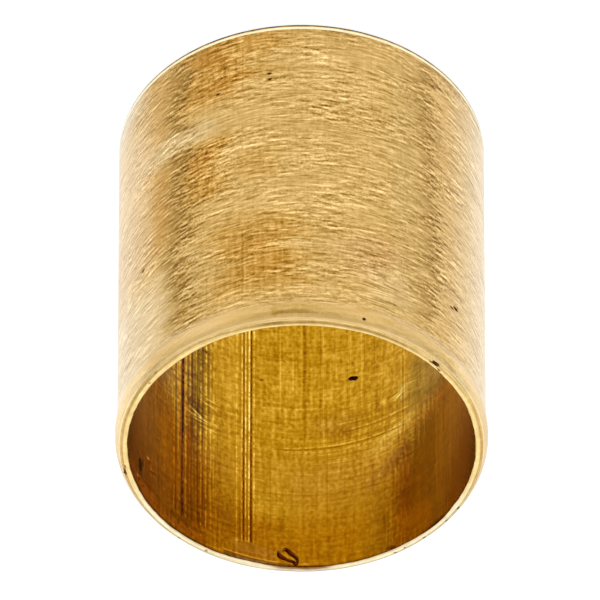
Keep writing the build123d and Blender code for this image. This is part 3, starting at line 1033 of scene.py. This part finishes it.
    # shorter ones: arc, half width, from, to, levels
    for u0, h, v0, v1, a in (
        (0.050, 0.050, 0.0, 4.15, -32),
        (0.000, 0.018, 0.0, 3.70, 14),
        (-0.150, 0.020, 0.5, 2.95, 18),
        (-0.370, 0.022, 0.8, 3.45, 16),
        (0.385, 0.024, 0.9, 4.25, 15),
        (0.330, 0.020, 0.9, 4.25, -14),
        (0.610, 0.018, 0.9, 2.65, 16),
        (0.870, 0.020, 1.2, 3.65, 18),
        (0.810, 0.022, 1.2, 3.45, -14),
        (1.070, 0.018, 1.4, 3.45, 18),
        (1.120, 0.016, 1.4, 3.45, -14),
        (1.340, 0.016, 1.4, 3.25, 16),
        (1.850, 0.018, 2.0, 4.40, 24),
        (1.920, 0.018, 2.0, 4.55, 30),
        (1.885, 0.016, 2.0, 4.50, -8),
        (1.990, 0.022, 4.4, 6.50, -9),
        (0.445, 0.018, 4.4, 6.30, -14),
        (0.475, 0.016, 4.4, 6.30, 10),
        (-0.550, 0.018, 4.6, 6.30, -10),
        (-0.520, 0.018, 4.6, 6.30, 10),
        (2.680, 0.060, 3.9, 6.50, 9),
        (2.880, 0.050, 4.1, 6.50, -9),
        (3.080, 0.040, 4.5, 6.50, 8),
        (-3.010, 0.060, 3.0, 6.70, 12),
        (-2.780, 0.040, 3.0, 6.70, -10),
    ):
        tone = tone + f.axis_line(u0, h, v0, v1, float(a), 0.14)
    # arcs that a cutter left across the bore
    cut = None
    for v0, h, u0, u1, a, lean in (
        (4.150, 0.018, 0.30, 1.86, -14, -0.035),
        (4.440, 0.018, 0.20, 1.70, 14, -0.030),
        (3.830, 0.016, 0.90, 1.96, -16, -0.060),
        (4.600, 0.018, 0.20, 1.50, 12, -0.020),
        (3.620, 0.016, 0.90, 1.84, -14, -0.030),
        (3.560, 0.014, 0.60, 1.70, 12, -0.030),
        (4.075, 0.016, 0.50, 1.86, 12, -0.050),
        (3.330, 0.016, -0.60, 0.40, 12, 0.000),
        (3.640, 0.016, -1.90, -0.20, -12, 0.030),
        (3.700, 0.016, -1.90, -0.20, 12, 0.030),
        (4.900, 0.018, -0.20, 1.40, 10, 0.000),
        (5.420, 0.018, -0.60, 1.70, -10, 0.010),
        (4.290, 0.026, -0.40, 1.82, -28, -0.035),
        (4.240, 0.022, -0.30, 1.82, 22, -0.035),
        (4.360, 0.022, -0.10, 1.60, 14, -0.035),
        (4.520, 0.020, 0.10, 1.40, -14, -0.020),
        (3.940, 0.020, 0.70, 1.92, -24, -0.06),
        (3.895, 0.018, 0.70, 1.92, 18, -0.06),
        (4.010, 0.018, 0.90, 1.80, 16, -0.06),
        (3.740, 0.018, 0.60, 1.50, 12, -0.05),
        (4.690, 0.018, 0.0, 1.1, -10, 0.0),
        (3.160, 0.016, -0.9, -0.1, -10, 0.05),
        (3.410, 0.014, 0.2, 1.6, -10, 0.0),
        (4.090, 0.020, -2.28, -1.45, 24, 0.10),
        (4.170, 0.018, -2.28, -1.45, -20, 0.10),
        (4.235, 0.016, -2.22, -1.50, 20, 0.10),
        (3.460, 0.018, -2.02, -1.30, 16, 0.08),
        (4.990, 0.018, -2.1, -0.6, -10, 0.03),
        (5.110, 0.018, -1.6, -0.5, 8, 0.02),
    ):
        arcs = f.ring_line(v0, h * 1.15, u0, u1, a * 1.3, 0.16, lean)
        cut = arcs if cut is None else cut + arcs
    tone = tone + cut * (draw1 * 0.6 + 1.0).plus(weave, 0.5).max(0.1)
    # short scratches at a slant
    for u0, v0, wu, wv, lean, a in (
        (-2.00, 3.975, 0.150, 0.016, 0.55, 56), (-1.88, 4.055, 0.150, 0.016, 0.55, 46), (-2.06, 4.095, 0.120, 0.014, 0.55, 42),
        (-1.92, 3.955, 0.120, 0.016, 0.60, -42), (-1.76, 3.670, 0.110, 0.016, 0.35, 46), (-1.64, 3.690, 0.080, 0.014, 0.35, 36),
        (-1.72, 4.295, 0.120, 0.014, 0.30, 36), (1.80, 3.490, 0.050, 0.022, -0.8, 46), (1.86, 3.370, 0.040, 0.018, -0.6, 36),
        (1.74, 3.570, 0.040, 0.016, -0.6, 32), (1.76, 3.450, 0.110, 0.014, -0.35, 44), (1.79, 3.500, 0.120, 0.014, -0.5, 40),
        (1.70, 3.420, 0.080, 0.012, -0.4, -34), (2.10, 3.330, 0.140, 0.014, 0.2, 30), (2.18, 3.560, 0.160, 0.014, 0.1, 26),
        (2.28, 3.240, 0.120, 0.014, -0.3, 30), (-1.62, 3.575, 0.130, 0.016, 0.20, 48), (-1.90, 4.160, 0.200, 0.014, 0.05, 48),
        (-2.00, 4.075, 0.180, 0.014, 0.15, 44), (-1.86, 4.115, 0.160, 0.013, 0.10, -50), (-1.96, 4.215, 0.150, 0.013, 0.05, -44),
        (-1.70, 4.270, 0.160, 0.013, 0.10, 40), (-1.60, 4.080, 0.060, 0.013, 0.40, 40), (-1.58, 3.740, 0.060, 0.013, 0.40, 34),
    ):
        tone = tone + f.spot(u0, v0, wu, wv, 0.8, lean) * float(a)

    # the lip: a light flake line with a painted dark line outside it, shade at the lip's edge
    flake = f.u.within(-3.5, -1.25, 0.12) * 0.7
    vl = f.v.plus(draw1, 0.006)
    tone = tone + vl.within(7.026, 7.066, 0.010) * flake * 26.0
    f.lay(vl.within(7.026, 7.066, 0.010) * flake * 0.7, (196, 140, 66))
    # painted shade along the lip's edge
    tone = tone - f.v.ss(7.084, 7.104) * 30.0
    # the far stretch: the light line runs down to the left, with brown between it and the lip
    sl = vl.plus(f.u, -0.055)
    f.lay(sl.ss(7.066, 7.086) * f.u.within(-1.40, -0.06, 0.06), (140, 92, 30))
    f.lay(sl.within(7.040, 7.072, 0.010) * f.u.within(-1.42, -0.40, 0.06) * 0.95, (228, 168, 92))
    f.lay(vl.within(7.034, 7.084, 0.010) * f.u.within(-0.05, 0.16, 0.03) * 0.95, (222, 166, 84))
    f.lay(vl.within(7.030, 7.100, 0.014) * f.u.within(0.16, 0.62, 0.05) * 0.55, (190, 134, 66))
    f.lay(f.spot(1.62, 7.072, 0.100, 0.034, 0.8, 0.15) * 0.85, (104, 56, 12))
    # burr and flecks on the left
    f.lay(f.spot(-3.76, 6.700, 0.050, 0.110, 0.9) * 0.6, (158, 130, 40))
    burr = f.spot(-3.563, 6.52, 0.075, 0.190, 0.6).max(f.spot(-3.470, 6.36, 0.040, 0.080, 0.6) * 0.7)
    f.lay(burr, (44, 10, 2))
    tone = tone * (1 - burr * 0.8)
    for arc, zz, w, h, lean, k, rgb in (
        (-3.235, 6.085, 0.062, 0.042, 0.56, 1.0, (255, 196, 104)), (-3.165, 6.205, 0.020, 0.060, 0.0, 0.8, (226, 166, 80)),
        (-3.085, 6.268, 0.070, 0.024, 0.45, 0.8, (220, 160, 72)), (-3.642, 6.850, 0.060, 0.052, 0.0, 0.9, (226, 158, 112)),
        (-3.440, 6.860, 0.050, 0.030, 0.3, 0.6, (190, 130, 86)), (-2.72, 6.85, 0.050, 0.020, 0.0, 0.5, (196, 140, 84)),
        (-1.150, 6.690, 0.030, 0.020, 0.0, 0.8, (232, 176, 96)), (-0.950, 6.640, 0.030, 0.020, 0.0, 0.7, (224, 168, 88)),
    ):
        f.lay(f.spot(arc, zz, w, h, 0.9, lean) * k, rgb)

    pit = None
    for arc, zz, w, h in ((0.890, 2.700, 0.066, 0.046), (0.950, 2.716, 0.052, 0.048)):
        m = f.spot(arc, zz, w, h, 0.4)
        pit = m if pit is None else pit.max(m)
    pit = pit.max(f.spot(-0.705, 2.695, 0.030, 0.022, 0.8) * 0.5)
    f.lay(pit, (48, 26, 4))
    tone = tone * (1 - pit)

    # the near side, paler: painted light, which the visible wall picks up in its reflections
    near = f.u.abs().ss(4.10, 4.75)
    f.lay(near, (233, 218, 105))
    col = f.finished(tone, (1.0, 1.0, 1.0))
    rough = (0.21 - lines * 0.03).plus(haze, 0.08).max(0.10)
    f.bump(lines * 0.8 + cross * 0.25 + weave * 0.3, 1.6e-6)
    return f.out(col, rough, aniso=0.0)


def curled_swarf():
    f = Finish("brass_swarf")
    streak = f.noise(9.0, 9.0, 1.0, 0.5, 2.0)
    # dark brown: tarnish, with painted shade, as the chip sits in shade under the lip
    f.lay(None, (118, 56, 10))
    f.lay(streak.ss(0.1, 0.9), (176, 104, 30))
    col = f.finished(streak * 14.0, (0.9, 0.9, 0.9))
    return f.out(col, 0.34 - streak * 0.04)


sleeve.data.materials.append(brushed_outside())
sleeve.data.materials.append(cut_end())
sleeve.data.materials.append(drawn_bore())
sleeve.data.materials.append(curled_swarf())

# ----------------------------------------------------------------------------------------------
# Floor, light and camera
# ----------------------------------------------------------------------------------------------
floor_me = bpy.data.meshes.new("floor")
s = 1.5
floor_me.from_pydata([(-s, -s, 0), (s, -s, 0), (s, s, 0), (-s, s, 0)], [], [(0, 1, 2, 3)])
floor = bpy.data.objects.new("floor", floor_me)
bpy.context.scene.collection.objects.link(floor)
floor.location.z = -2e-6
fm = bpy.data.materials.new("floor_white")
fm.use_nodes = True
fp = fm.node_tree.nodes["Principled BSDF"]
fp.inputs["Base Color"].default_value = (0.25, 0.25, 0.25, 1)
fp.inputs["Roughness"].default_value = 0.9
fp.inputs["Specular IOR Level"].default_value = 0.0
fp.inputs["Emission Color"].default_value = (1, 1, 1, 1)
fp.inputs["Emission Strength"].default_value = 0.88
floor_me.materials.append(fm)


def studio():
    """A soft white surround, a little brighter behind, with narrow gaps at both sides and a dim patch low in front."""
    world = bpy.data.worlds.new("studio")
    bpy.context.scene.world = world
    world.use_nodes = True
    t = world.node_tree
    bg = t.nodes["Background"]
    tc = t.nodes.new("ShaderNodeTexCoord")
    sep = t.nodes.new("ShaderNodeSeparateXYZ")
    t.links.new(tc.outputs["Generated"], sep.inputs[0])
    x, y, z = (Field(t, sep.outputs[k]) for k in range(3))
    e = math.radians(44)
    key = (y * math.cos(e) + z * math.sin(e)).max(0.0).pow(5.0)
    level = 0.92 + key * 0.34
    gap = x.abs().ss(0.93, 0.995) * z.abs().ss(0.5, 0.2)
    level = level * (1 - gap * 0.55)
    front = y.ss(-0.80, -0.97) * z.ss(0.22, 0.06)
    level = level * (1 - front * 0.45)
    t.links.new(level.socket, bg.inputs["Strength"])
    bg.inputs["Color"].default_value = (1, 1, 1, 1)
    white = t.nodes.new("ShaderNodeBackground")
    white.inputs["Strength"].default_value = 1.1
    path = t.nodes.new("ShaderNodeLightPath")
    mix = t.nodes.new("ShaderNodeMixShader")
    t.links.new(path.outputs["Is Camera Ray"], mix.inputs[0])
    t.links.new(bg.outputs[0], mix.inputs[1])
    t.links.new(white.outputs[0], mix.inputs[2])
    t.links.new(mix.outputs[0], t.nodes["World Output"].inputs["Surface"])


studio()

ELEV, DIST, PXMM = 44.38, 397.0, 58.11
scene = bpy.context.scene
cam_data = bpy.data.cameras.new("camera")
cam = bpy.data.objects.new("camera", cam_data)
scene.collection.objects.link(cam)
scene.camera = cam
e = math.radians(ELEV)
back = Vector((0, -math.cos(e), math.sin(e)))
right = Vector((1, 0, 0))
up = Vector((0, math.sin(e), math.cos(e)))
target = Vector((0.0270, 0, 3.596))
pos = (target + back * DIST) * MM
rot = Matrix((-right, -up, back)).transposed()
cam.matrix_world = Matrix.Translation(pos) @ rot.to_4x4()
cam_data.sensor_width = 36
depth_rim = DIST - (L - target.z) * math.sin(e)
cam_data.lens = PXMM * depth_rim / 600 * 36
cam_data.clip_start, cam_data.clip_end = 0.01, 10
scene.view_settings.view_transform = "Standard"
scene.view_settings.look = "None"
